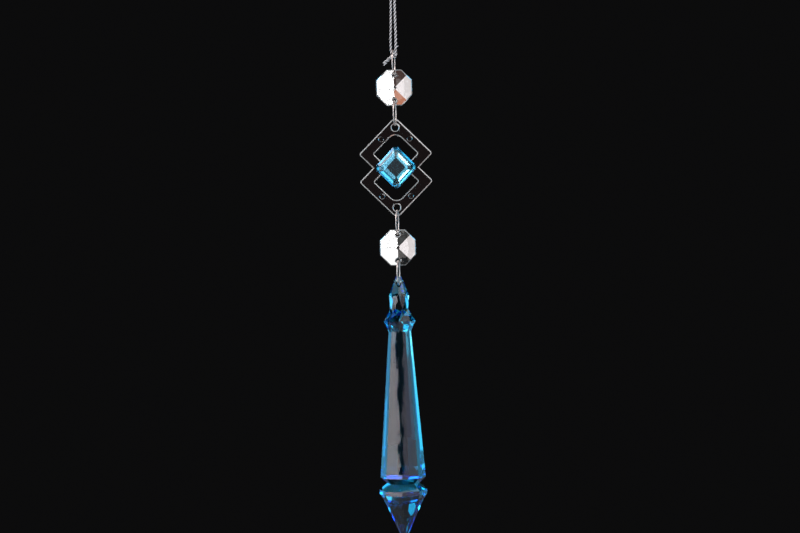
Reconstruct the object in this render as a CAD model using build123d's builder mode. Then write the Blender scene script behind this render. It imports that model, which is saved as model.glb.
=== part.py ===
"""Icicle hanging ornament: a cord loop, four jump rings, two faceted octagon beads, a double-diamond
plate with a foiled square stone, and a long eight-sided icicle drop, hanging in one plumb line.

Millimetres, +Z up. The origin is where a hook bears on the inside of the cord loop. The front faces -Y.
Every piece is placed from the one that it hangs on, from the top down.
"""

import os
from itertools import pairwise
from math import atan2, cos, hypot, pi, radians, sin, sqrt, tan

from build123d import *

# ---- driving dimensions ------------------------------------------------------------------------

CORD_DIAMETER = 0.9
LOOP_LENGTH = 50.3  # from the hook down to the top wire of the first ring
HOOK_TURN_WIDTH = 3.2  # the loop's width where it goes over the hook

KNOT_WIDTH = 2.5
KNOT_HEIGHT = 2.8
KNOT_DEPTH = 2.4
KNOT_ROUNDING = 0.6
KNOT_DROP = 1.8  # the knot's middle below the ring's wire
KNOT_EYE_RADIUS = 0.52  # the notch in the knot's top that the first ring's wire turns in

RING_DIAMETER = 9.2  # on the wire's centreline
RING_WIRE = 0.5
RING_YAW = -6.0  # the rings hang turned a little from edge-on, front leg to the left
RING_GAP = 1.6  # degrees of the cut where the ring was closed

BEAD_WIDTH = 13.5  # across flats
BEAD_EDGE = 1.6  # thickness that a facet's slope alone would leave at the rim
BEAD_HEIGHT = 5.8  # thickness at the middle
BEAD_BEVEL = 0.3
BEAD_HOLE_RADIUS = 0.69
BEAD_SINK_RADIUS = 1.1  # the holes' countersinks
BEAD_SINK_ANGLE = 90
BEAD_HOLE_SPACING = 9.7

PLATE_THICKNESS = 2.5
SQUARE_REACH = 13.9  # centre of a square to its sharp outer corner
WINDOW_REACH = 8.3  # centre of a square to the sharp corner of its window
SQUARE_OFFSET = 5.25  # each square's centre above or below the plate's middle
CORNER_RADIUS = 1.0
APEX_RADIUS = 2.0
WINDOW_APEX_RADIUS = 3.2
WINDOW_CORNER_RADIUS = 0.5
SEAT_REACH = 7.7  # the stone's seat between the windows, centre to its sharp corner
SEAT_CORNER_RADIUS = 1.0
PLATE_EDGE = 0.35
PLATE_HOLE_RADIUS = 1.3
PLATE_HOLE_LIP = 0.55  # rounding of the hole's rims
PLATE_HOLE_SPACING = 30.2
DIMPLE_RADIUS = 1.05
DIMPLE_DEPTH = 0.35
DIMPLE_TAPER = 30
DIMPLE_SPACING = (10.8, 21.6)

STONE_REACH = 8.15  # centre to a side's sharp corner
STONE_STRETCH = 1.05  # how much taller than wide it is
STONE_THICKNESS = 3.1
STONE_GIRDLE = 0.9
STONE_STEP_HEIGHT = 2.2  # where the outer crown facets meet the inner ones
STONE_STEP_REACH = 6.1
STONE_TABLE_REACH = 3.75
STONE_CORNER_CUTS = (0.85, 0.6, 0.25)  # half width of a corner facet at girdle, step and table
FOIL_THICKNESS = 0.06
GLUE_THICKNESS = 0.12
GLUE_MARGIN = 1.0
GLUE_CORNER_RADIUS = 1.2

SIDES = 8
ICICLE_HOLE_RADIUS = 0.78
ICICLE_HOLE_DEPTH = 3.2  # below the icicle's top
ICICLE_HOLE_LENGTH = 12.0  # longer than the cap is wide
ICICLE_YAW = -3.0  # its front corner stands a little to the left
# (depth below the top, corner radius, turned by half a side)
ICICLE_RINGS = (
    (0.0, 1.0, False),  # top
    (7.3, 3.8, False),  # foot of the cap
    (12.36, 3.62, True),  # neck
    (16.9, 5.93, False),  # collar
    (20.7, 4.2, False),  # top of the shaft
    (74.1, 8.42, False),  # top of the shaft's belt
    (75.8, 8.5, False),  # foot of the shaft's belt
    (78.0, 6.1, False),  # groove
    (80.4, 8.98, False),  # top of the point's belt
    (82.1, 8.98, False),  # foot of the point's belt
    (84.4, 7.45, False),  # foot of the bevel
    (100.4, 0.15, False),  # tip
)

# Where a ring's wire runs in a hole, measured from the hole's centre towards the way the ring leaves.
WIRE_IN_BEAD = 0.1
WIRE_IN_PLATE = PLATE_HOLE_RADIUS - RING_WIRE / 2 - 0.1
WIRE_IN_ICICLE = -0.06

ARC_SHARE = 0.45  # how much of a cord's run each of its corner arcs may take
CLOSE = 0.01  # how near two lengths are when they count as the same

# ---- heights along the plumb line, from the hook down ------------------------------------------

HALF_BEAD_HOLES = BEAD_HOLE_SPACING / 2
HALF_PLATE_HOLES = PLATE_HOLE_SPACING / 2

knot_ring_top = -LOOP_LENGTH
upper_bead_z = knot_ring_top - RING_DIAMETER - WIRE_IN_BEAD - HALF_BEAD_HOLES
plate_ring_top = upper_bead_z - HALF_BEAD_HOLES - WIRE_IN_BEAD
plate_z = plate_ring_top - RING_DIAMETER - WIRE_IN_PLATE - HALF_PLATE_HOLES
lower_bead_ring_top = plate_z - HALF_PLATE_HOLES - WIRE_IN_PLATE
lower_bead_z = lower_bead_ring_top - RING_DIAMETER - WIRE_IN_BEAD - HALF_BEAD_HOLES
icicle_ring_top = lower_bead_z - HALF_BEAD_HOLES - WIRE_IN_BEAD
icicle_top = icicle_ring_top - RING_DIAMETER - WIRE_IN_ICICLE + ICICLE_HOLE_DEPTH

os.makedirs("parts", exist_ok=True)


def save(part, name):
    """Labels a finished piece and writes it as one STEP file."""
    part.label = name
    export_step(part, f"parts/{name}.step")


def front(z, toward=0.0):
    """The upright plane at height z that sketches in X and Z, that far towards the front."""
    return Plane.XZ.offset(toward).shift_origin((0, -toward, z))


def faceted(rings):
    """A closed solid with flat facets, from rings of as many points each, in order along it."""
    faces = [Face(Wire.make_polygon(ring)) for ring in (rings[0], rings[-1])]
    for upper, lower in pairwise(rings):
        for i in range(len(upper)):
            after = (i + 1) % len(upper)
            for corners in (
                (upper[i], lower[i], upper[after]),
                (upper[after], lower[i], lower[after]),
            ):
                faces.append(Face(Wire.make_polygon(corners)))
    return Solid(Shell(faces)).clean()


def smooth_route(points):
    """Straight runs with a tangent arc at each corner, as large as the two runs allow."""
    at = [Vector(*p) for p in points]
    radii = []
    for before, here, after in zip(at, at[1:], at[2:]):
        came, goes = here - before, after - here
        half_turn = radians(came.get_angle(goes)) / 2
        radii.append(ARC_SHARE * min(came.length, goes.length) / tan(half_turn))
    return FilletPolyline(*at, radius=radii), radii


def cord_tube(points):
    """A plain round cord along a route, with its arc radii and its volume over section times length printed."""
    with BuildPart() as tube:
        with BuildLine() as line:
            route, radii = smooth_route(points)
        with BuildSketch(Plane(origin=route @ 0, z_dir=route % 0)):
            Circle(CORD_DIAMETER / 2)
        sweep(path=line.wires()[0])
    section = pi * CORD_DIAMETER**2 / 4
    print(
        "route", round(route.length, 2), "mm, tightest arcs",
        [round(r, 2) for r in sorted(radii)[:3]],
        "volume share", round(tube.part.volume / (section * route.length), 4),
    )
    return tube.part


def outside_knot(tube):
    """What shows of a cord that starts or ends inside the knot."""
    with BuildPart() as shown:
        add(tube)
        add(cord_knot.part, mode=Mode.SUBTRACT)
    return shown.part


# ---- cord: loop, knot and cut ends -------------------------------------------------------------

knot_z = knot_ring_top - KNOT_DROP

with BuildPart() as cord_knot:
    with BuildSketch(front(knot_z)):
        Ellipse(KNOT_WIDTH / 2, KNOT_HEIGHT / 2)
    extrude(amount=KNOT_DEPTH / 2, both=True)
    fillet(cord_knot.edges(), radius=KNOT_ROUNDING)
    with Locations((0, 0, knot_ring_top)):
        Cylinder(KNOT_EYE_RADIUS, KNOT_DEPTH, rotation=(90, 0, 0), mode=Mode.SUBTRACT)
save(cord_knot.part, "cord_knot")

turn = HOOK_TURN_WIDTH / 2
over_hook = CORD_DIAMETER / 2
CORD_ROUTE = (
    (-0.80, -0.08, -51.3),
    (-0.96, -0.02, -48.2),
    (-0.86, 0.04, -44.2),
    (-0.60, 0.00, -38.0),
    (-0.48, -0.06, -30.0),
    (-0.62, 0.04, -20.0),
    (-1.00, 0.02, -11.6),
    (-1.50, 0.00, -5.2),
    (-turn, 0.00, over_hook),
    (turn, 0.00, over_hook),
    (1.50, 0.00, -5.2),
    (1.14, -0.03, -11.8),
    (0.96, 0.05, -20.4),
    (0.90, 0.00, -30.4),
    (0.94, -0.06, -38.2),
    (1.06, 0.00, -44.4),
    (1.00, 0.04, -48.2),
    (0.78, 0.08, -51.3),
)

hanging_cord = outside_knot(cord_tube(CORD_ROUTE))
save(hanging_cord, "hanging_cord")

TAIL_ROUTES = (
    (
        (-0.20, -0.50, -51.70),
        (-1.30, -0.62, -52.55),
        (-2.50, -0.68, -53.55),
        (-3.70, -0.64, -54.70),
    ),
    (
        (0.00, 0.15, -52.30),
        (-0.95, 0.22, -53.05),
        (-2.20, 0.17, -54.15),
        (-3.60, 0.10, -55.60),
    ),
)

tails = [outside_knot(cord_tube(route)) for route in TAIL_ROUTES]
with BuildPart() as cord_tails:
    for tail in tails:
        add(tail)
save(cord_tails.part, "cord_tails")

# ---- jump rings --------------------------------------------------------------------------------

rings = {
    "knot_ring": knot_ring_top,
    "plate_ring": plate_ring_top,
    "lower_bead_ring": lower_bead_ring_top,
    "icicle_ring": icicle_ring_top,
}

for ring_name, top in rings.items():
    middle = Vector(0, 0, top - RING_DIAMETER / 2)
    across = Vector(cos(radians(RING_YAW)), sin(radians(RING_YAW)), 0)
    face_on = Plane(origin=middle, x_dir=(0, 0, 1), z_dir=across)
    with BuildPart() as ring:
        with BuildSketch(Plane(origin=middle, x_dir=face_on.y_dir, z_dir=face_on.x_dir)):
            with Locations((RING_DIAMETER / 2, 0)):
                Circle(RING_WIRE / 2)
        revolve(axis=Axis(middle, across), revolution_arc=360 - RING_GAP)
    save(ring.part, ring_name)

# ---- octagon beads -----------------------------------------------------------------------------

bead_slope = atan2(BEAD_HEIGHT - BEAD_EDGE, BEAD_WIDTH)
# The holes open on a ridge in front, and in the middle of a facet behind.
hole_mouths = {
    -1: BEAD_HEIGHT / 2 - HALF_BEAD_HOLES * cos(pi / 4) * tan(bead_slope),
    1: BEAD_HEIGHT / 2 - HALF_BEAD_HOLES * tan(bead_slope),
}

for bead_name, bead_z in (("upper_bead", upper_bead_z), ("lower_bead", lower_bead_z)):
    with BuildPart() as bead:
        with BuildSketch(front(bead_z)):
            RegularPolygon(BEAD_WIDTH / 2, SIDES, major_radius=False, rotation=180 / SIDES)
        extrude(amount=BEAD_HEIGHT / 2, both=True)
        # Four flat facets a side. Their ridges run up, down and across in front, and slantwise behind.
        for side, first in ((-1, 45), (1, 0)):
            for turned in range(first, first + 360, 90):
                outward = Vector(cos(radians(turned)), 0, sin(radians(turned)))
                normal = outward * sin(bead_slope) + Vector(0, side * cos(bead_slope), 0)
                apex = (0, side * BEAD_HEIGHT / 2, bead_z)
                split(bisect_by=Plane(origin=apex, z_dir=normal), keep=Keep.BOTTOM)
        rims = [
            edge
            for edge in bead.edges()
            if all(hypot(v.X, v.Z - bead_z) > BEAD_WIDTH / 2 - CLOSE for v in edge.vertices())
            and edge not in bead.edges().filter_by(Axis.Y)
        ]
        chamfer(rims, length=BEAD_BEVEL)
        for hole_z in (bead_z - HALF_BEAD_HOLES, bead_z + HALF_BEAD_HOLES):
            for side in (-1, 1):
                mouth = (0, side * hole_mouths[side], hole_z)
                with Locations(Plane(origin=mouth, z_dir=(0, side, 0))):
                    CounterSinkHole(
                        radius=BEAD_HOLE_RADIUS,
                        counter_sink_radius=BEAD_SINK_RADIUS,
                        counter_sink_angle=BEAD_SINK_ANGLE,
                    )
    save(bead.part, bead_name)

# ---- double-diamond plate ----------------------------------------------------------------------

with BuildPart() as diamond_plate:
    with BuildSketch(front(plate_z)) as outline:
        with Locations((0, SQUARE_OFFSET), (0, -SQUARE_OFFSET)):
            Rectangle(SQUARE_REACH * sqrt(2), SQUARE_REACH * sqrt(2), rotation=45)
        by_height = outline.vertices().sort_by(Axis.Y)
        fillet([by_height[0], by_height[-1]], radius=APEX_RADIUS)
        wide = [v for v in outline.vertices() if abs(v.X) > SQUARE_REACH - CLOSE]
        fillet(wide, radius=CORNER_RADIUS)
    extrude(amount=PLATE_THICKNESS / 2, both=True)
    for end in (-1, 1):
        with BuildSketch(front(plate_z)) as window:
            with Locations((0, end * SQUARE_OFFSET)):
                Rectangle(WINDOW_REACH * sqrt(2), WINDOW_REACH * sqrt(2), rotation=45)
            Rectangle(SEAT_REACH * sqrt(2), SEAT_REACH * sqrt(2), rotation=45, mode=Mode.SUBTRACT)
            top = [v for v in window.vertices() if abs(v.Y) > SQUARE_OFFSET + WINDOW_REACH - CLOSE]
            fillet(top, radius=WINDOW_APEX_RADIUS)
            sides = [v for v in window.vertices() if abs(v.X) > WINDOW_REACH - CLOSE]
            fillet(sides, radius=WINDOW_CORNER_RADIUS)
            seat = [v for v in window.vertices() if abs(v.X) < CLOSE]
            fillet(seat, radius=SEAT_CORNER_RADIUS)
        extrude(amount=PLATE_THICKNESS / 2, both=True, mode=Mode.SUBTRACT)
    faces = diamond_plate.faces().filter_by(Axis.Y)
    chamfer(faces.edges(), length=PLATE_EDGE)
    for end in (-1, 1):
        with Locations((0, 0, plate_z + end * HALF_PLATE_HOLES)):
            Cylinder(PLATE_HOLE_RADIUS, PLATE_THICKNESS, rotation=(90, 0, 0), mode=Mode.SUBTRACT)
    hole_rims = [
        edge
        for edge in diamond_plate.edges().filter_by(GeomType.CIRCLE)
        if abs(edge.radius - PLATE_HOLE_RADIUS) < CLOSE
    ]
    fillet(hole_rims, radius=PLATE_HOLE_LIP)
    with BuildSketch(front(plate_z, PLATE_THICKNESS / 2)):
        with GridLocations(*DIMPLE_SPACING, 2, 2):
            Circle(DIMPLE_RADIUS)
    extrude(amount=-DIMPLE_DEPTH, taper=DIMPLE_TAPER, mode=Mode.SUBTRACT)
save(diamond_plate.part, "diamond_plate")

# ---- square stone, its foil and its glue -------------------------------------------------------

plate_face = -PLATE_THICKNESS / 2
foil_back = plate_face - GLUE_THICKNESS
stone_back = foil_back - FOIL_THICKNESS


def stone_ring(reach, cut, toward):
    """The stone's outline at one height: a square on its corner, each corner cut off that far each way."""
    ring = []
    for quarter in range(4):
        out = Vector(cos(quarter * pi / 2), 0, STONE_STRETCH * sin(quarter * pi / 2))
        side = Vector(-sin(quarter * pi / 2), 0, STONE_STRETCH * cos(quarter * pi / 2))
        for way in (-1, 1):
            ring.append(out * (reach - cut) + side * way * cut + Vector(0, toward, plate_z))
    return ring


girdle_cut, step_cut, table_cut = STONE_CORNER_CUTS
with BuildPart() as square_stone:
    add(
        faceted(
            (
                stone_ring(STONE_REACH, girdle_cut, stone_back),
                stone_ring(STONE_REACH, girdle_cut, stone_back - STONE_GIRDLE),
                stone_ring(STONE_STEP_REACH, step_cut, stone_back - STONE_STEP_HEIGHT),
                stone_ring(STONE_TABLE_REACH, table_cut, stone_back - STONE_THICKNESS),
            )
        )
    )
save(square_stone.part, "square_stone")

with BuildPart() as stone_foil:
    add(
        faceted(
            (
                stone_ring(STONE_REACH, girdle_cut, foil_back),
                stone_ring(STONE_REACH, girdle_cut, stone_back),
            )
        )
    )
save(stone_foil.part, "stone_foil")

with BuildPart() as stone_glue:
    with BuildSketch(front(plate_z, -plate_face)):
        Rectangle(
            (STONE_REACH - GLUE_MARGIN) * sqrt(2), (STONE_REACH - GLUE_MARGIN) * sqrt(2), rotation=45
        )
    extrude(amount=GLUE_THICKNESS)
    fillet(stone_glue.edges().filter_by(Axis.Y), radius=GLUE_CORNER_RADIUS)
save(stone_glue.part, "stone_glue")

# ---- icicle ------------------------------------------------------------------------------------


def icicle_ring_points(depth, radius, turned):
    """One ring of the icicle's corners. A corner faces the front, or a flat does where it is turned."""
    start = ICICLE_YAW - 90 + (180 / SIDES if turned else 0)
    return [
        Vector(
            radius * cos(radians(start + 360 / SIDES * i)),
            radius * sin(radians(start + 360 / SIDES * i)),
            icicle_top - depth,
        )
        for i in range(SIDES)
    ]


with BuildPart() as icicle:
    add(faceted([icicle_ring_points(*ring) for ring in ICICLE_RINGS]))
    with Locations((0, 0, icicle_top - ICICLE_HOLE_DEPTH)):
        Cylinder(ICICLE_HOLE_RADIUS, ICICLE_HOLE_LENGTH, rotation=(90, 0, 0), mode=Mode.SUBTRACT)
save(icicle.part, "icicle")

for name, z in (
    ("knot_ring_top", knot_ring_top),
    ("upper_bead", upper_bead_z),
    ("plate_ring_top", plate_ring_top),
    ("plate", plate_z),
    ("lower_bead_ring_top", lower_bead_ring_top),
    ("lower_bead", lower_bead_z),
    ("icicle_ring_top", icicle_ring_top),
    ("icicle_top", icicle_top),
):
    print(name, round(z, 3))
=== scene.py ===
import math
import random
from itertools import pairwise

import bmesh
import bpy
from mathutils import Matrix, Quaternion, Vector


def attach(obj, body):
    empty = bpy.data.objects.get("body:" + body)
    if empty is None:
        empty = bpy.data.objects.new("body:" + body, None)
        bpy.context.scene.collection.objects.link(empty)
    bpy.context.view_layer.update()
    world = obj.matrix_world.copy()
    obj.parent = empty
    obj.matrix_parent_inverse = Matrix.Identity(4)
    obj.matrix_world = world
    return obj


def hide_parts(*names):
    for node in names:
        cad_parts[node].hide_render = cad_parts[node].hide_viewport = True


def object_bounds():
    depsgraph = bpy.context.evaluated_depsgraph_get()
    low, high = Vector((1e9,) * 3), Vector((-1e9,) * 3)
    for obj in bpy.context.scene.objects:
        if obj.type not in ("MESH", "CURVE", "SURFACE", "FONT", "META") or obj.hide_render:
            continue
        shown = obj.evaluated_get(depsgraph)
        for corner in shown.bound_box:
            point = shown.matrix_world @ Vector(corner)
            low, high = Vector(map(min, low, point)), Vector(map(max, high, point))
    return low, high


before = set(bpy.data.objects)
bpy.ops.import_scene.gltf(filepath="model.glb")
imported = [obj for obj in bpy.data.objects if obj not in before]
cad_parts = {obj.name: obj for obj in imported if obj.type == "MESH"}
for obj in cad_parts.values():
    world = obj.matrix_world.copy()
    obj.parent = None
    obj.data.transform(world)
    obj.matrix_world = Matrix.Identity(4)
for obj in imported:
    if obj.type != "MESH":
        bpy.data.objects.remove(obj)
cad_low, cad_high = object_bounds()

MM = 0.001

# ---- the picture's own facts -------------------------------------------------------------------

IMAGE_WIDTH = 800
PIXEL = 0.378 * MM  # what one pixel covers at the ornament
CAMERA_DISTANCE = 600 * MM
CAMERA_ROLL = math.radians(1.34)  # the ornament's top leans left in the picture
LOOK_AT = Vector((0.64, 0, -132)) * MM
SENSOR = 36.0


def add_camera():
    data = bpy.data.cameras.new("camera")
    data.sensor_width = SENSOR
    data.lens = SENSOR * CAMERA_DISTANCE / (IMAGE_WIDTH * PIXEL)
    data.clip_start = 0.01
    camera = bpy.data.objects.new("camera", data)
    level = Matrix.Rotation(math.radians(90), 4, "X")
    roll = Matrix.Rotation(-CAMERA_ROLL, 4, "Z")
    camera.matrix_world = Matrix.Translation(LOOK_AT - Vector((0, CAMERA_DISTANCE, 0))) @ level @ roll
    bpy.context.scene.collection.objects.link(camera)
    bpy.context.scene.camera = camera


add_camera()

# ---- small helpers -----------------------------------------------------------------------------


def link(obj, body=None):
    """Puts an object in the scene, on a body if one is named."""
    bpy.context.scene.collection.objects.link(obj)
    if body:
        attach(obj, body)
    return obj


def make_mesh(name, verts, faces, smooth=True):
    mesh = bpy.data.meshes.new(name)
    mesh.from_pydata(verts, [], faces)
    mesh.polygons.foreach_set("use_smooth", [smooth] * len(mesh.polygons))
    mesh.update()
    return bpy.data.objects.new(name, mesh)


class Nodes:
    """A short way to write a material's node tree."""

    def __init__(self, name):
        self.material = bpy.data.materials.new(name)
        self.material.use_nodes = True
        self.tree = self.material.node_tree
        self.tree.nodes.clear()
        self.out = self.add("ShaderNodeOutputMaterial")
        self.shader = self.add("ShaderNodeBsdfPrincipled")
        self.join(self.shader, "BSDF", self.out, "Surface")

    def add(self, kind, settings=None, **inputs):
        node = self.tree.nodes.new(kind)
        for key, value in (settings or {}).items():
            setattr(node, key, value)
        for key, value in inputs.items():
            node.inputs[key.replace("_", " ")].default_value = value
        return node

    def join(self, a, output, b, name):
        self.tree.links.new(a.outputs[output], b.inputs[name])

    def set(self, **inputs):
        for key, value in inputs.items():
            self.shader.inputs[key.replace("_", " ")].default_value = value

    def noise(self, scale, detail, roughness):
        """Noise that stays with the piece. Its scale is in waves for each metre."""
        where = self.add("ShaderNodeTexCoord")
        noise = self.add("ShaderNodeTexNoise", Scale=scale, Detail=detail, Roughness=roughness)
        self.join(where, "Object", noise, "Vector")
        return noise

    def rubbed(self, noise, noise_range, smoothest, roughest):
        """Roughness that follows the noise."""
        low, high = noise_range
        level = self.add("ShaderNodeMapRange", From_Min=low, From_Max=high, To_Min=smoothest, To_Max=roughest)
        self.join(noise, "Fac", level, "Value")
        self.join(level, "Result", self.shader, "Roughness")

    def uneven(self, noise, strength, depth):
        """Bumps that follow the noise, on top of the real shape."""
        bump = self.add("ShaderNodeBump", Strength=strength, Distance=depth)
        self.join(noise, "Fac", bump, "Height")
        self.join(bump, "Normal", self.shader, "Normal")


# ---- materials ---------------------------------------------------------------------------------

# Scales of noise, in waves for each metre.
MOULDING_WAVES = 160.0
FINE_RUBS = 1800.0
METAL_GRAIN = 2600.0
FIBRES = 5200.0


def clear_plastic(name, tint=None, tint_depth=0.0, waviness=0.02, roughness=0.015, ior=1.49, haze=0.0):
    """Polished acrylic that refracts, with moulding waves, fine rubs, and a body tint if it has one."""
    m = Nodes(name)
    m.set(Base_Color=(1, 1, 1, 1), IOR=ior, Transmission_Weight=1.0 - haze)
    m.uneven(m.noise(MOULDING_WAVES, 2.0, 0.4), waviness, 0.4 * MM)
    m.rubbed(m.noise(FINE_RUBS, 4.0, 0.7), (0.55, 0.8), roughness, roughness + 0.12)
    if tint:
        body = m.add("ShaderNodeVolumeAbsorption", Color=(*tint, 1), Density=tint_depth)
        m.join(body, "Volume", m.out, "Volume")
    return m.material


def polished_metal(name, color, roughness, wear):
    """Bright metal with a fine grain. wear is how much rougher it is where it is most rubbed."""
    m = Nodes(name)
    m.set(Base_Color=(*color, 1), Metallic=1.0)
    grain = m.noise(METAL_GRAIN, 5.0, 0.65)
    m.rubbed(grain, (0.35, 0.75), roughness, roughness + wear)
    m.uneven(grain, 0.08, 0.1 * MM)
    return m.material


bead_plastic = clear_plastic("bead_plastic", waviness=0.008, roughness=0.008, ior=1.55)
plate_plastic = clear_plastic("plate_plastic")
plate_rim = clear_plastic("plate_rim", roughness=0.3, haze=0.25)
bead_rim = clear_plastic("bead_rim", roughness=0.2, haze=0.2, ior=1.55)
icicle_plastic = clear_plastic("icicle_plastic", tint=(0.0, 0.85, 0.99), tint_depth=200.0, waviness=0.03)
stone_plastic = clear_plastic("stone_plastic", tint=(0.0, 0.82, 0.99), tint_depth=170.0, waviness=0.01)
glue_plastic = clear_plastic("glue_plastic", roughness=0.15)
wire_metal = polished_metal("wire_metal", (0.80, 0.70, 0.66), 0.22, wear=0.22)
foil_metal = polished_metal("foil_metal", (0.9, 0.93, 0.95), 0.05, wear=0.08)


def twisted_fibre(name):
    """Silvery white thread: soft sheen, fine fibres, and painted shade in the grooves between its plies."""
    m = Nodes(name)
    m.set(Roughness=0.5, Specular_IOR_Level=0.45, Sheen_Weight=0.35, Sheen_Roughness=0.4)
    fibres = m.noise(FIBRES, 5.0, 0.7)
    shade = m.add("ShaderNodeValToRGB")
    dull, bright = shade.color_ramp.elements
    dull.position, dull.color = 0.30, (0.80, 0.76, 0.78, 1)
    bright.position, bright.color = 0.66, (0.95, 0.92, 0.94, 1)
    m.join(fibres, "Fac", shade, "Fac")
    # Painted shade: the base colour is darker where a ply faces in towards the strand's middle, in the
    # grooves between the plies.
    painted_shade_mask = m.add("ShaderNodeAttribute", {"attribute_name": "painted_shade_mask"})
    painted_groove_shade = m.add("ShaderNodeMapRange", From_Min=0.1, From_Max=0.65, To_Min=0.15, To_Max=1.0)
    m.join(painted_shade_mask, "Fac", painted_groove_shade, "Value")
    color_with_painted_shade = m.add("ShaderNodeVectorMath", {"operation": "SCALE"})
    m.join(shade, "Color", color_with_painted_shade, "Vector")
    m.join(painted_groove_shade, "Result", color_with_painted_shade, "Scale")
    m.join(color_with_painted_shade, "Vector", m.shader, "Base Color")
    m.uneven(fibres, 0.5, 0.05 * MM)
    return m.material


cord_fibre = twisted_fibre("cord_fibre")

# ---- cord: one twisted thread, its knot and its cut ends ---------------------------------------

PLIES = 2
LAY = 2.9 * MM  # one whole turn of the plies
YARNS = 3  # ridges round each ply, from the yarns that it is spun from
YARN_RELIEF = 0.05  # how far those ridges stand out, as a share of the ply's radius
YARN_TWIST = 0.55  # radians of the ridges' wave, from one ring of points to the next
PLY_SQUEEZE = 1.04  # the plies press into each other a little
STEP = 0.12 * MM  # between the rings of points along a tube

# The thread's thickness at the start and the end of each piece.
LOOP_WIDTHS = (0.78 * MM, 0.92 * MM)
KNOT_WIDTHS = (0.84 * MM, 0.80 * MM)
TAIL_WIDTHS = (0.78 * MM, 0.74 * MM)
TAIL_OPENING = 0.25  # how much further apart its plies are at a cut end

LOOSE_FIBRES = 70  # along the loop
SPUR_FIBRES = 11  # in the short spur beside the knot
BRUSH_FIBRES = 46  # at each cut end

# In millimetres, as in the part's source.
CORD_ROUTE = (
    (-0.80, -0.08, -51.3),
    (-0.96, -0.02, -48.2),
    (-0.86, 0.04, -44.2),
    (-0.60, 0.00, -38.0),
    (-0.48, -0.06, -30.0),
    (-0.62, 0.04, -20.0),
    (-1.00, 0.02, -11.6),
    (-1.50, 0.00, -5.2),
    (-1.60, 0.00, 0.45),
    (1.60, 0.00, 0.45),
    (1.50, 0.00, -5.2),
    (1.14, -0.03, -11.8),
    (0.96, 0.05, -20.4),
    (0.90, 0.00, -30.4),
    (0.94, -0.06, -38.2),
    (1.06, 0.00, -44.4),
    (1.00, 0.04, -48.2),
    (0.78, 0.08, -51.3),
)
# From the left leg, behind the knot, round its right side and across its front.
LEFT_IN_KNOT = (
    (-0.80, -0.08, -51.3),
    (-0.42, 0.42, -51.7),
    (0.30, 0.62, -51.5),
    (1.00, 0.34, -51.5),
    (1.14, -0.36, -51.8),
    (0.35, -0.80, -51.7),
    (-0.50, -0.78, -52.2),
    (-1.20, -0.66, -52.85),
)
UPPER_TAIL = (
    (-1.20, -0.66, -52.85),
    (-1.85, -0.60, -53.4),
    (-2.75, -0.62, -54.2),
    (-3.66, -0.58, -55.0),
)
# From the right leg, down the knot's right side, across its front lower down, and behind.
RIGHT_IN_KNOT = (
    (0.78, 0.08, -51.3),
    (1.02, -0.20, -51.8),
    (1.00, -0.30, -52.4),
    (0.45, -0.45, -52.8),
    (-0.30, -0.30, -52.5),
    (-0.75, 0.10, -52.2),
    (-0.40, 0.40, -52.0),
    (0.20, 0.35, -52.6),
    (-0.35, 0.20, -52.9),
    (-1.00, 0.14, -53.15),
)
LOWER_TAIL = (
    (-1.00, 0.14, -53.15),
    (-1.68, 0.16, -53.75),
    (-2.65, 0.14, -54.65),
    (-3.52, 0.10, -55.6),
)
SPUR_ROOT = Vector((1.25, -0.25, -49.0)) * MM
SPUR_TIP = Vector((1.98, -0.35, -48.6)) * MM


def smooth_line(name, route):
    """Points along the NURBS line whose control points are the route's."""
    data = bpy.data.curves.new(name, "CURVE")
    data.dimensions = "3D"
    data.resolution_u = 24
    line = data.splines.new("NURBS")
    line.points.add(len(route) - 1)
    for point, at in zip(line.points, route):
        point.co = (*(Vector(at) * MM), 1)
    line.order_u = 3
    line.use_endpoint_u = True
    guide = bpy.data.objects.new(name, data)
    mesh = bpy.data.meshes.new_from_object(guide)
    points = [vertex.co.copy() for vertex in mesh.vertices]
    bpy.data.objects.remove(guide)
    bpy.data.curves.remove(data)
    bpy.data.meshes.remove(mesh)
    return points


def evenly(points, step):
    """The same line with its points about a step apart."""
    reach = [0.0]
    for a, b in pairwise(points):
        reach.append(reach[-1] + (b - a).length)
    count = max(2, round(reach[-1] / step))
    even, at = [], 0
    for i in range(count + 1):
        want = reach[-1] * i / count
        while at < len(points) - 2 and reach[at + 1] < want:
            at += 1
        share = (want - reach[at]) / max(reach[at + 1] - reach[at], 1e-9)
        even.append(points[at].lerp(points[at + 1], min(share, 1.0)))
    return even


def crossways(points):
    """Each point of a line with two directions across it that follow its bends without spinning."""
    across = None
    for i, here in enumerate(points):
        ahead = points[min(i + 1, len(points) - 1)] - points[max(i - 1, 0)]
        ahead.normalize()
        across = ahead.orthogonal() if across is None else across - ahead * across.dot(ahead)
        across.normalize()
        yield here, across, ahead.cross(across)


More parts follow.
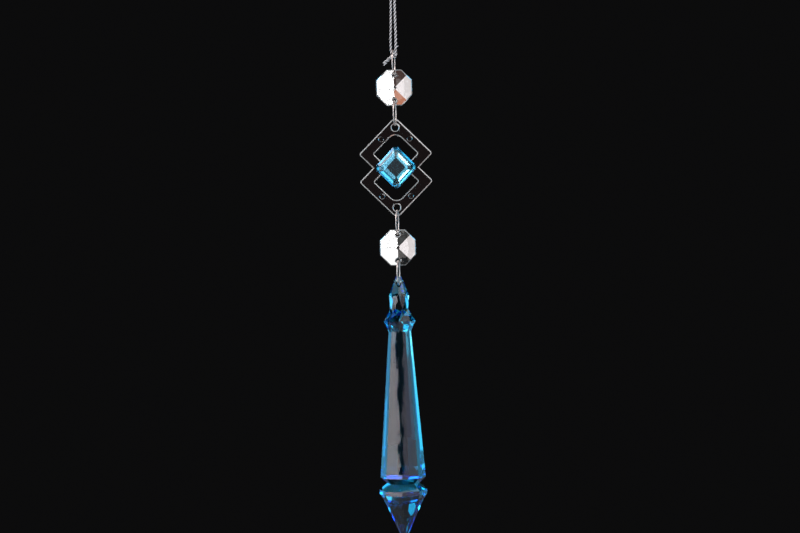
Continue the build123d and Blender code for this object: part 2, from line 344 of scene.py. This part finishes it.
class Threads:
    """Gathers tubes of thread into one mesh."""

    def __init__(self):
        self.verts, self.faces, self.painted_shade_mask = [], [], []

    def tube(self, points, radius, sides=10, ridges=0, outward=None):
        """radius is a number, or a function of the share of the way along."""
        first = len(self.verts)
        for i, (here, u, v) in enumerate(crossways(points)):
            share = i / (len(points) - 1)
            wide = radius(share) if callable(radius) else radius
            for side in range(sides):
                turn = 2 * math.pi * side / sides
                ridge = 1 + YARN_RELIEF * math.cos(ridges * turn + YARN_TWIST * i) if ridges else 1
                away = u * math.cos(turn) + v * math.sin(turn)
                self.verts.append(here + away * wide * ridge)
                # How far each point faces out from the strand's middle. The thread's material paints shade
                # where this is low.
                self.painted_shade_mask.append(away.dot(outward[i]) if outward else 1.0)
        for ring in range(len(points) - 1):
            start = first + ring * sides
            for side in range(sides):
                after = (side + 1) % sides
                self.faces.append((start + side, start + after, start + sides + after, start + sides + side))
        last = len(self.verts) - sides
        self.faces.append(tuple(range(first + sides - 1, first - 1, -1)))
        self.faces.append(tuple(range(last, last + sides)))

    def strand(self, points, widths, open_end=0.0):
        """Plies twisted about a line. They stand that much further apart towards an open end."""
        first_width, last_width = widths
        spread = 1 / math.sin(math.pi / PLIES)
        lines = [([], []) for _ in range(PLIES)]
        gone = 0.0

        def ply(share):
            return (first_width + (last_width - first_width) * share) / 2 / (1 + spread)

        for i, (here, u, v) in enumerate(crossways(points)):
            gone += (here - points[i - 1]).length if i else 0.0
            share = i / (len(points) - 1)
            apart = ply(share) * spread * (1 + open_end * share**3)
            for k, (line, outward) in enumerate(lines):
                turn = 2 * math.pi * (gone / LAY + k / PLIES)
                outward.append(u * math.cos(turn) + v * math.sin(turn))
                line.append(here + outward[-1] * apart)
        for line, outward in lines:
            self.tube(line, lambda share: ply(share) * PLY_SQUEEZE, sides=12, ridges=YARNS, outward=outward)

    def fibre(self, root, tip, bow, radius):
        """One loose fibre from root to tip that bows to one side, and thins out."""
        points = [root.lerp(tip, t / 6) + bow * math.sin(math.pi * t / 6) for t in range(7)]
        self.tube(points, lambda share: radius * (1 - 0.7 * share), sides=5)

    def piece(self, name, look):
        obj = make_mesh(name, self.verts, self.faces)
        # Stores the mask for the painted shade in the grooves.
        painted_shade_mask = obj.data.attributes.new("painted_shade_mask", "FLOAT", "POINT")
        painted_shade_mask.data.foreach_set("value", self.painted_shade_mask)
        obj.data.materials.append(look)
        return link(obj, "cord")


chance = random.Random(7)


def jitter(size):
    """A small step in a random direction."""
    return Vector([chance.uniform(-size, size) for _ in range(3)])


def brush(shape, points):
    """The loose fibres where a strand was cut."""
    end = points[-1]
    ahead = (points[-1] - points[-6]).normalized()
    for _ in range(BRUSH_FIBRES):
        root = points[-chance.randint(5, 9)] + jitter(0.28 * MM)
        tip = end + ahead * chance.uniform(-0.1, 0.42) * MM + jitter(0.26 * MM)
        shape.fibre(root, tip, jitter(0.05 * MM), radius=0.035 * MM)


thread_line = smooth_line("thread_line", CORD_ROUTE)
thread_shape = Threads()
thread_shape.strand(evenly(thread_line, STEP), LOOP_WIDTHS)
for _ in range(LOOSE_FIBRES):
    root = thread_line[chance.randrange(4, len(thread_line) - 4)] + jitter(0.24 * MM)
    thread_shape.fibre(root, root + jitter(0.75 * MM), jitter(0.12 * MM), radius=0.009 * MM)
for _ in range(SPUR_FIBRES):
    root = SPUR_ROOT + jitter(0.10 * MM)
    thread_shape.fibre(root, SPUR_TIP + jitter(0.17 * MM), jitter(0.05 * MM), radius=0.045 * MM)
thread = thread_shape.piece("thread_loop", cord_fibre)
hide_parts("hanging_cord")

knot_shape = Threads()
for route in (LEFT_IN_KNOT, RIGHT_IN_KNOT):
    knot_shape.strand(evenly(smooth_line("knot_line", route), STEP), KNOT_WIDTHS)
knot = knot_shape.piece("thread_knot", cord_fibre)
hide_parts("cord_knot")

tail_shape = Threads()
for route in (UPPER_TAIL, LOWER_TAIL):
    line = evenly(smooth_line("tail_line", route), STEP)
    tail_shape.strand(line, TAIL_WIDTHS, open_end=TAIL_OPENING)
    brush(tail_shape, line)
tails = tail_shape.piece("thread_tails", cord_fibre)
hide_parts("cord_tails")

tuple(thread_line[0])

# ---- polished plastic pieces -------------------------------------------------------------------

SAME_PLACE = 0.5e-6  # metres: nearer than this counts as touching
FLAT_ENOUGH = math.radians(1.0)  # facets that turn by less than this are one facet
STONE_CLEARANCE = 0.02 * MM  # from the foil


def polished(node, body, looks, choose=None, clear_back=0.0):
    """The CAD node's own shape with crisp facets, as a piece that stands for the node.

    Its back can stand that far clear of what it lies on.
    """
    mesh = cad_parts[node].data.copy()
    shape = bmesh.new()
    shape.from_mesh(mesh)
    bmesh.ops.remove_doubles(shape, verts=shape.verts, dist=SAME_PLACE)
    bmesh.ops.dissolve_limit(shape, angle_limit=FLAT_ENOUGH, verts=shape.verts, edges=shape.edges)
    bmesh.ops.recalc_face_normals(shape, faces=shape.faces)
    back = max(vert.co.y for vert in shape.verts)
    for vert in shape.verts:
        if back - vert.co.y < SAME_PLACE:
            vert.co.y -= clear_back
    shape.to_mesh(mesh)
    shape.free()
    mesh.name = f"{node}_polished"
    mesh.materials.clear()
    for look in looks:
        mesh.materials.append(look)
    for face in mesh.polygons:
        face.material_index = choose(face) if choose else 0
    mesh.polygons.foreach_set("use_smooth", [False] * len(mesh.polygons))
    piece = bpy.data.objects.new(f"{node}_polished", mesh)
    link(piece, body)
    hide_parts(node)


def rear(face):
    """Chooses the second look for the faces that look straight backwards."""
    return 1 if face.normal.y > 0.99 else 0


def slanting(face):
    """Chooses the second look for chamfers and rims: the faces that stand about halfway to the front."""
    return 1 if 0.55 < abs(face.normal.y) < 0.9 else 0


for bead in ("upper_bead", "lower_bead"):
    polished(bead, bead, [bead_plastic, bead_rim], slanting)
polished("diamond_plate", "plate", [plate_plastic, plate_rim], slanting)
polished("square_stone", "plate", [stone_plastic, foil_metal], rear, STONE_CLEARANCE)
polished("icicle", "icicle", [icicle_plastic])

LOOKS = {
    "stone_foil": foil_metal,
    "stone_glue": glue_plastic,
    "knot_ring": wire_metal,
    "plate_ring": wire_metal,
    "lower_bead_ring": wire_metal,
    "icicle_ring": wire_metal,
}
for node, look in LOOKS.items():
    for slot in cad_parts[node].material_slots:
        slot.material = look

# ---- stage -------------------------------------------------------------------------------------

MIDDLE = Vector((0, 0, -130)) * MM  # what every light faces


def soft_panel(name, azimuth, elevation, distance, size, radiance, color=(1, 1, 1), lean=0.0):
    """A soft light that faces the ornament, with its angles in degrees and its sizes in metres.

    Azimuth 0 is in front of the ornament, and 90 is to its right. The panel is not upright if it has a lean.
    """
    data = bpy.data.lights.new(name, "AREA")
    data.shape = "RECTANGLE"
    data.size, data.size_y = size
    data.energy = radiance * math.pi * size[0] * size[1]
    data.color = color
    light = bpy.data.objects.new(name, data)
    a, e = math.radians(azimuth), math.radians(elevation)
    out = Vector((math.sin(a) * math.cos(e), -math.cos(a) * math.cos(e), math.sin(e)))
    light.rotation_mode = "QUATERNION"
    upright = (-out).to_track_quat("-Z", "Y")
    light.rotation_quaternion = upright @ Quaternion((0, 0, 1), math.radians(lean))
    light.location = MIDDLE + out * distance
    light.visible_camera = False
    link(light)


# In front. The first two lean, so that the dark gap between them runs straight down the icicle. high_strip
# and low_strip are what the beads' left facets reflect.
soft_panel("key", -55.85, 4, 0.75, (0.12, 0.7), 4.4, (1.0, 0.95, 1.0), lean=4.7)
soft_panel("right_strip", 44.05, 4, 0.75, (0.13, 0.7), 1.3, (0.93, 0.85, 1.0), lean=-4.6)
soft_panel("high_strip", -26.7, 30, 0.75, (0.08, 0.2), 24.0)
soft_panel("low_strip", -26.2, -13, 0.75, (0.07, 0.08), 24.0)
soft_panel("low_key", -50, -21, 0.75, (0.12, 0.14), 1.2)
soft_panel("high_key", -50, 17, 0.75, (0.12, 0.16), 3.0)
soft_panel("near_left", -16, 0, 0.8, (0.16, 0.5), 1.4, (0.5, 0.88, 1.0))
soft_panel("near_right", 18, 0, 0.8, (0.2, 0.6), 1.8, (0.6, 0.85, 1.0))
soft_panel("near_right_low", 20, -20, 0.8, (0.11, 0.16), 1.5, (0.7, 0.85, 1.0))
soft_panel("high_right", 60, 42, 0.8, (0.5, 0.2), 2.0)
soft_panel("camera_side", 0, -3, 0.8, (0.3, 0.6), 0.07, (1.0, 0.55, 0.55))

# Below, close enough to stay above the floor.
soft_panel("low_right", 62, -41, 0.55, (0.24, 0.14), 0.35)
soft_panel("low_left", -34, -41, 0.55, (0.24, 0.14), 1.3)

# Beside, and just behind the sides.
soft_panel("beside_left", -95, 0, 0.8, (0.25, 0.3), 1.5)
soft_panel("beside_right", 95, 0, 0.8, (0.25, 0.3), 1.5)
soft_panel("rim_right", 135, -8, 0.8, (0.2, 0.6), 1.6, (0.15, 0.62, 1.0))
soft_panel("rim_left", -135, -8, 0.8, (0.2, 0.6), 1.6, (0.15, 0.62, 1.0))

# Behind: what shows through the clear beads.
soft_panel("back_left", 160, 4, 0.8, (0.14, 0.17), 1.1)
soft_panel("back_left_high", 170, 16, 0.8, (0.14, 0.17), 1.1)
soft_panel("back_bounce", 197.5, 4, 0.8, (0.13, 0.52), 0.75, (1.0, 0.93, 0.93))
soft_panel("back_warm", 189.5, 29, 0.8, (0.12, 0.16), 0.5, (1.0, 0.38, 0.22))
soft_panel("back_brown", 189, -8, 0.8, (0.11, 0.2), 0.055, (1.0, 0.5, 0.4))

# Above, with one from the left for the thread.
soft_panel("overhead", 0, 60, 0.8, (0.6, 0.3), 2.0, (1.0, 0.92, 0.9))
soft_panel("cord_fill", -85, 42, 0.8, (0.4, 0.3), 6.0, (1.0, 0.97, 0.98))
soft_panel("overhead_right", 90, 60, 0.8, (0.8, 0.3), 1.6)

FLOOR_DROP = 360 * MM  # below the icicle's tip
FLOOR_REACH = 1.8
floor_z = cad_low.z - FLOOR_DROP
floor = make_mesh(
    "floor",
    [(x * FLOOR_REACH, y * FLOOR_REACH, floor_z) for x, y in ((-1, -1), (1, -1), (1, 1), (-1, 1))],
    [(0, 1, 2, 3)],
    smooth=False,
)
paper = Nodes("floor_paper")
paper.set(Base_Color=(0.62, 0.62, 0.60, 1), Roughness=0.8)
floor.data.materials.append(paper.material)
link(floor)

world = bpy.data.worlds.new("world")
world.use_nodes = True
world.node_tree.nodes["Background"].inputs["Color"].default_value = (0.0036, 0.0036, 0.0038, 1)
bpy.context.scene.world = world
scene = bpy.context.scene
scene.view_settings.view_transform = "Standard"
scene.cycles.max_bounces = 24
scene.cycles.transmission_bounces = 24
scene.cycles.glossy_bounces = 12
scene.cycles.use_denoising = True
